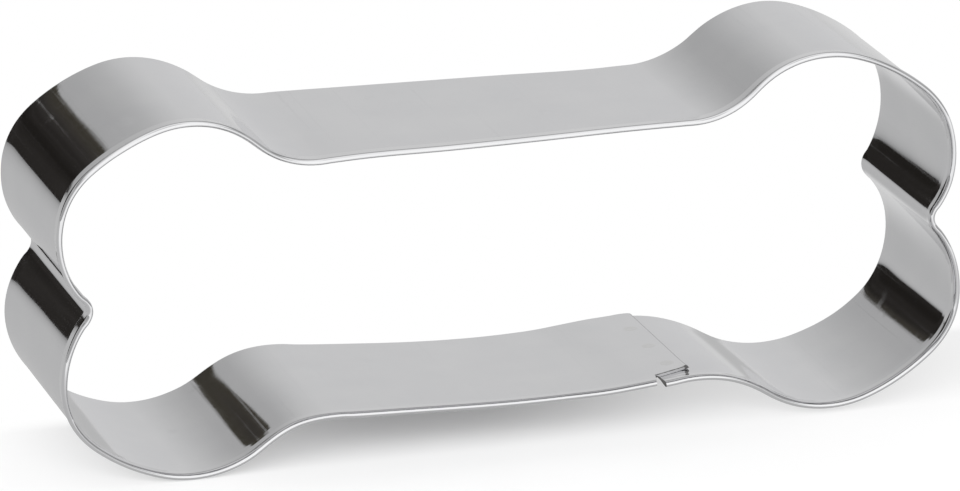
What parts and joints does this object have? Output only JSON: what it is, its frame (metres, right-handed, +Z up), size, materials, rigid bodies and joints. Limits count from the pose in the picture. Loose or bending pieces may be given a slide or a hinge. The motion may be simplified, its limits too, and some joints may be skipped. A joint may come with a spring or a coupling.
{
  "type": "cookie cutter",
  "caption": "Bone-shaped cookie cutter bent from one polished steel strip, with a folded hem to press on, a bare cutting edge and a spot-welded lap.",
  "frame": {"origin": "on the floor under the middle of the cutter, which stands on its two lower lobes", "axes": "+X along the bone to the right in the picture, +Y from the hem to the cutting edge, +Z up"},
  "size_m": [0.0978, 0.022, 0.0394],
  "materials": {
    "polished_steel": "mirror-polished stainless sheet with fine rolling lines",
    "weld_metal": "slightly dulled spot weld in the same steel"
  },
  "bodies": {
    "root": {"cutter_band": "polished_steel", "weld_hem_side": "weld_metal", "weld_middle": "weld_metal", "weld_edge_side": "weld_metal"}
  },
  "joints": []
}
